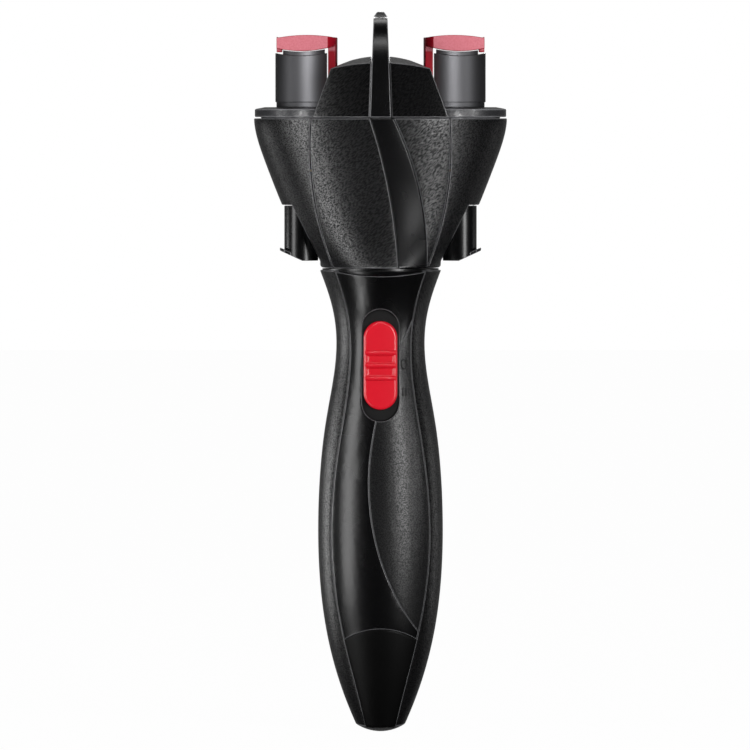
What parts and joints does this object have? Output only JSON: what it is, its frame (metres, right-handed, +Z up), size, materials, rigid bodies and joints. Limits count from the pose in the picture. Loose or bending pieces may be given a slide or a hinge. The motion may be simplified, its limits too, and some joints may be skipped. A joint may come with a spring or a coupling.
{
  "type": "automatic hair braider",
  "caption": "Battery hair braider: a pear-shaped handle with a slide switch carries a turning head with twin spindles, red clamp caps and a centre fin.",
  "frame": {"origin": "lowest point of the handle's rounded end, on the rotor axis", "axes": "+Z up along the rotor axis towards the fin, -Y out of the front with the slide switch, +X to the right seen from the front"},
  "size_m": [0.0948, 0.0582, 0.2698],
  "materials": {
    "black_textured": "fine leather-like grain",
    "black_gloss": "polished",
    "post_grey": "dark metallic lacquer",
    "red_gloss": "polished",
    "steel": "bright",
    "brass": "bright",
    "frame_plastic": "moulded",
    "gear_plastic": "moulded",
    "cell_sleeve": "printed sleeve, plain",
    "switch_body": "moulded",
    "board_green": "laminate"
  },
  "bodies": {
    "handle": {"handle_front_shell": "black_textured", "handle_rear_shell": "black_textured", "front_trim": "black_gloss", "lens_inlay": "black_textured", "tip_cover": "black_gloss", "handle_screws": "steel", "battery_tray": "frame_plastic", "battery_cells": "cell_sleeve", "battery_springs": "steel", "battery_contacts": "steel", "switch_plate": "black_gloss", "slide_switch": "switch_body", "circuit_board": "board_green", "motor": "steel", "gearbox_housing": "frame_plastic", "gearbox_cover": "frame_plastic", "countershaft_pin": "steel", "collar_plate": "frame_plastic", "head_clutch": "steel", "collar_ring": "black_gloss"},
    "head": {"cup_front_panel": "black_textured", "cup_rear_panel": "black_textured", "cup_side_left": "black_textured", "cup_side_right": "black_textured", "head_sash": "black_gloss", "head_dome": "black_textured", "head_fin": "black_gloss", "rotor_hub": "frame_plastic", "hub_circlip": "steel", "shaft_clutch": "steel", "bearing_plate": "frame_plastic", "deck_plate": "frame_plastic", "head_screws": "steel", "spindle_bushes": "brass", "idler_pins": "steel"},
    "battery_door": {"battery_cover": "black_textured"},
    "switch_thumb": {"switch_slider": "red_gloss"},
    "pinion": {"motor_pinion": "brass"},
    "gear_1": {"drive_gear_1": "gear_plastic"},
    "gear_2": {"drive_gear_2": "gear_plastic"},
    "gear_3": {"drive_gear_3": "gear_plastic"},
    "gear_4": {"output_gear": "gear_plastic"},
    "drive": {"drive_shaft": "steel", "sun_gear": "gear_plastic"},
    "idler_left": {"idler_gear_left": "gear_plastic"},
    "idler_right": {"idler_gear_right": "gear_plastic"},
    "spindle_left": {"turntable_left": "black_gloss", "post_left": "post_grey", "spindle_gear_left": "gear_plastic"},
    "cap_left": {"clamp_cap_left": "red_gloss", "clamp_lifter_left": "frame_plastic"},
    "tab_left": {"push_tab_left": "black_gloss", "return_spring_left": "steel"},
    "spindle_right": {"turntable_right": "black_gloss", "post_right": "post_grey", "spindle_gear_right": "gear_plastic"},
    "cap_right": {"clamp_cap_right": "red_gloss", "clamp_lifter_right": "frame_plastic"},
    "tab_right": {"push_tab_right": "black_gloss", "return_spring_right": "steel"}
  },
  "joints": [
    {"name": "head_spin", "type": "hinge", "parent": "handle", "child": "head", "pos_m": [0, 0, 0.175], "axis": [0, 0, 1], "continuous": true},
    {"name": "cover_slide", "type": "slide", "parent": "handle", "child": "battery_door", "axis": [0, 0, -1], "range_m": [0, 0.02]},
    {"name": "switch_slide", "type": "slide", "parent": "handle", "child": "switch_thumb", "axis": [0, 0, 1], "range_m": [-0.004, 0.004]},
    {"name": "pinion_spin", "type": "hinge", "parent": "handle", "child": "pinion", "pos_m": [0, 0, 0.125], "axis": [0, 0, 1], "continuous": true},
    {"name": "gear_1_spin", "type": "hinge", "parent": "handle", "child": "gear_1", "pos_m": [0.0068, 0, 0.1255], "axis": [0, 0, 1], "continuous": true},
    {"name": "gear_2_spin", "type": "hinge", "parent": "handle", "child": "gear_2", "pos_m": [0, 0, 0.128], "axis": [0, 0, 1], "continuous": true},
    {"name": "gear_3_spin", "type": "hinge", "parent": "handle", "child": "gear_3", "pos_m": [0.0068, 0, 0.13], "axis": [0, 0, 1], "continuous": true},
    {"name": "gear_4_spin", "type": "hinge", "parent": "handle", "child": "gear_4", "pos_m": [0, 0, 0.1325], "axis": [0, 0, 1], "continuous": true},
    {"name": "sun_spin", "type": "hinge", "parent": "head", "child": "drive", "pos_m": [0, 0, 0.2155], "axis": [0, 0, 1], "continuous": true},
    {"name": "idler_left_spin", "type": "hinge", "parent": "head", "child": "idler_left", "pos_m": [-0.0135, 0, 0.2155], "axis": [0, 0, 1], "continuous": true},
    {"name": "idler_right_spin", "type": "hinge", "parent": "head", "child": "idler_right", "pos_m": [0.0135, 0, 0.2155], "axis": [0, 0, 1], "continuous": true},
    {"name": "spindle_left_spin", "type": "hinge", "parent": "head", "child": "spindle_left", "pos_m": [-0.0297, 0, 0.2155], "axis": [0, 0, 1], "continuous": true},
    {"name": "cap_left_lift", "type": "slide", "parent": "spindle_left", "child": "cap_left", "axis": [0, 0, 1], "range_m": [0, 0.0045]},
    {"name": "tab_left_lift", "type": "slide", "parent": "head", "child": "tab_left", "axis": [0, 0, 1], "range_m": [0, 0.0045], "stiffness_N_per_m": 900, "springref_m": -0.0008, "deforming": ["return_spring_left"]},
    {"name": "spindle_right_spin", "type": "hinge", "parent": "head", "child": "spindle_right", "pos_m": [0.0297, 0, 0.2155], "axis": [0, 0, 1], "continuous": true},
    {"name": "cap_right_lift", "type": "slide", "parent": "spindle_right", "child": "cap_right", "axis": [0, 0, 1], "range_m": [0, 0.0045]},
    {"name": "tab_right_lift", "type": "slide", "parent": "head", "child": "tab_right", "axis": [0, 0, 1], "range_m": [0, 0.0045], "stiffness_N_per_m": 900, "springref_m": -0.0008, "deforming": ["return_spring_right"]}
  ],
  "couplings": [
    {"joint": "sun_spin", "follows": "spindle_left_spin", "ratio": 1.375},
    {"joint": "idler_left_spin", "follows": "spindle_left_spin", "ratio": -1.5714},
    {"joint": "idler_right_spin", "follows": "spindle_left_spin", "ratio": -1.5714},
    {"joint": "spindle_right_spin", "follows": "spindle_left_spin", "ratio": 1},
    {"joint": "gear_4_spin", "follows": "spindle_left_spin", "ratio": 1.375},
    {"joint": "gear_3_spin", "follows": "spindle_left_spin", "ratio": -3.8194},
    {"joint": "gear_2_spin", "follows": "spindle_left_spin", "ratio": 10.61},
    {"joint": "gear_1_spin", "follows": "spindle_left_spin", "ratio": -29.471},
    {"joint": "pinion_spin", "follows": "spindle_left_spin", "ratio": 81.864},
    {"joint": "cap_left_lift", "follows": "tab_left_lift", "ratio": 1},
    {"joint": "cap_right_lift", "follows": "tab_right_lift", "ratio": 1}
  ]
}
